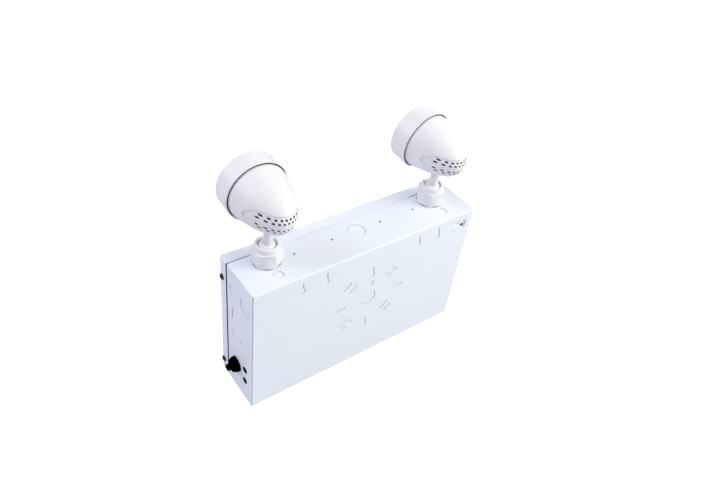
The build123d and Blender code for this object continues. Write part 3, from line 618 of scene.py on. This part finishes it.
bowl_wall = 0.0012
bowl_facets = 30
bowl_depth = 0.033
base_radius = 0.007
base_length = 0.007
base_chamfer = 0.06
base_foot_radius = 0.86 * base_radius
base_wall_radius = 0.94 * base_radius
base_overlap = 0.001
pin_pitch = 0.0053
pin_radius = 0.0008
pin_tip_radius = 0.0006
pin_point = 0.0004
pin_overlap = 0.0002
capsule_radius = 0.0045
capsule_foot_radius = 0.6 * capsule_radius
capsule_start = -0.031
capsule_end = -0.014
coil_radius = 0.0007
coil_wire = 0.00012
coil_length = 0.005
coil_turns = 9
for side in ("right", "left"):
    middle, axis, stem = head_line(side)
    lamp_points = node_points(f"lamp_{side}")
    across = np.cross(stem, axis)
    across /= np.linalg.norm(across)
    upward = np.cross(axis, across)
    stations = (lamp_points - middle) @ axis
    off_axis = lamp_points - middle - stations[:, None] * axis
    lamp_radius = np.linalg.norm(off_axis, axis=1).max()
    front = middle + axis * stations.max()
    pin_end = stations.min() - stations.max()
    lay = (front, across, upward, axis)
    bowl = turned(bowl_profile(lamp_radius, bowl_depth, base_radius, bowl_wall), bowl_facets)
    skin(
        f"reflector_{side}", [put(bowl, *lay)], mirror, f"head_{side}",
        [f"lamp_{side}"], sharp_angle=5.0,
    )
    capsule = turned(
        [
            (capsule_foot_radius, capsule_start),
            (capsule_radius, capsule_start + capsule_radius / 2),
        ]
        + [
            (capsule_radius * np.cos(a), capsule_end - capsule_radius + capsule_radius * np.sin(a))
            for a in np.radians(np.linspace(0, 86, 10))
        ],
        40,
    )
    skin(f"capsule_{side}", [put(capsule, *lay)], quartz, f"head_{side}", [])
    # Filament: a coil across the capsule, at (l (u - 1/2), r cos t, r sin t) for u from 0 to
    # 1 and t = 2 pi turns u, and its wire's rings stand square to the way it runs
    steps = np.linspace(0, 1, 12 * coil_turns)
    turn = 2 * np.pi * coil_turns * steps
    spine = np.stack(
        [coil_length * (steps - 0.5), coil_radius * np.cos(turn), coil_radius * np.sin(turn)],
        axis=1,
    )
    outward = np.stack([0 * turn, np.cos(turn), np.sin(turn)], axis=1)
    run = np.gradient(spine, axis=0)
    run /= np.linalg.norm(run, axis=1)[:, None]
    beside = np.cross(run, outward)
    around = np.linspace(0, 2 * np.pi, 8, endpoint=False)[None, :, None]
    coil = spine[:, None] + coil_wire * (
        np.cos(around) * outward[:, None] + np.sin(around) * beside[:, None]
    )
    coil[:, :, 2] += (capsule_start + capsule_end) / 2
    skin(f"filament_{side}", [put(coil, *lay)], filament_wire, f"head_{side}", [])
    # Base: a round block with a chamfered foot, and two pins with tapered ends
    base_foot = -bowl_depth - base_length
    base = turned(
        [
            (base_foot_radius, base_foot),
            (base_wall_radius, base_foot + base_chamfer * base_length),
            (base_wall_radius, -bowl_depth + base_overlap),
        ],
        48,
    )
    pin = turned(
        [
            (pin_tip_radius, pin_end),
            (pin_radius, pin_end + pin_point),
            (pin_radius, base_foot + pin_overlap),
        ],
        20,
    )
    pins = [pin + np.array([side_step, 0, 0]) for side_step in (-pin_pitch / 2, pin_pitch / 2)]
    skin(
        f"lamp_base_{side}", [put(part, *lay) for part in [base] + pins], ceramic,
        f"head_{side}", [],
    )
    smoothed(f"lamp_carrier_{side}", bright_steel, f"head_{side}")
    smoothed(f"lamp_socket_{side}", ceramic, f"head_{side}", 0.0004)


# Battery. A sealed lead acid block in a grey ABS case, moulded with a fine spark eroded
# texture. A zinc plated steel strap and two screws hold it down, and its tabs are as bright.
battery_case = finish("battery_case", ("#3A3C40", "#42444A"), 0.5, 0.01, 0.0006, 0.00003)
smoothed("battery", battery_case, "housing", 0.0008)
smoothed("battery_terminals", zinc, "housing", 0.0001)
smoothed("battery_strap", zinc, "housing", 0.0002)
smoothed("strap_screws", zinc, "housing", 0.0005)


# Transformer. Its core is a stack of silicon steel sheets, with a coil wrapped in amber tape
# and a zinc plated frame over all; a green earth screw stands beside it. Real sheets are
# 0.5 mm thick: their edges are drawn as lines 3.1 mm apart, so that they show.
laminated = finish(
    "laminated_core", ("#55585C", "#62656A"), 0.45, 0.004, 0.0005, 0.00001, {"Metallic": 0.7}
)
line_spacing = 0.001 * np.pi
line_depth = 0.0001
# The wave pattern runs 20 / 2 pi waves to the metre at a scale of 1
waves_per_metre = 20 / (2 * np.pi)
place = add_node(laminated, "ShaderNodeTexCoord").outputs["Object"]
sheets = add_node(
    laminated,
    "ShaderNodeTexWave",
    {"Scale": 1 / (line_spacing * waves_per_metre), "Distortion": 0.4},
    {"Vector": place},
    bands_direction="Y",
)
lines = add_node(
    laminated,
    "ShaderNodeBump",
    {"Strength": 1.0, "Distance": line_depth},
    {"Height": sheets.outputs[1]},
)
laminated.node_tree.links.new(
    lines.outputs[0], laminated.node_tree.nodes["Principled BSDF"].inputs["Normal"]
)
coil_tape = finish("amber_tape", ("#C08A2A", "#CE9A38"), 0.35, 0.008, 0.0008, 0.00002)
earth_green = finish("green_screw", ("#1E6B36", "#27783F"), 0.35, 0.002, 0.0005, 0.000008)
smoothed("transformer_core", laminated, "housing", 0.0003)
smoothed("transformer_coil", coil_tape, "housing", 0.0006)
smoothed("transformer_frame", zinc, "housing", 0.0002)
smoothed("earth_screw", earth_green, "housing", 0.0004)


# Charger board. Glass epoxy with green solder mask, screwed to zinc plated standoffs on the
# back panel. It carries a relay in a dark case, a green terminal block and a capacitor in a
# dark blue sleeve.
solder_mask = finish("solder_mask", ("#1B5A38", "#2A7048"), 0.3, 0.003, 0.0012, 0.00004)
relay_case = finish("relay_case", ("#14161A", "#1A1C20"), 0.35, 0.004, 0.0005, 0.00001)
terminal_green = finish("terminal_green", ("#2E7D4A", "#388A55"), 0.4, 0.004, 0.0005, 0.00001)
sleeve = finish("capacitor_sleeve", ("#16243F", "#1D2D4B"), 0.3, 0.003, 0.0006, 0.00001)
smoothed("charger_board", solder_mask, "housing", 0.0002)
smoothed("board_standoffs", zinc, "housing", 0.0002)
smoothed("board_screws", zinc, "housing", 0.0004)
smoothed("relay", relay_case, "housing", 0.0006)
smoothed("terminal_block", terminal_green, "housing", 0.0003)
smoothed("capacitor", sleeve, "housing")
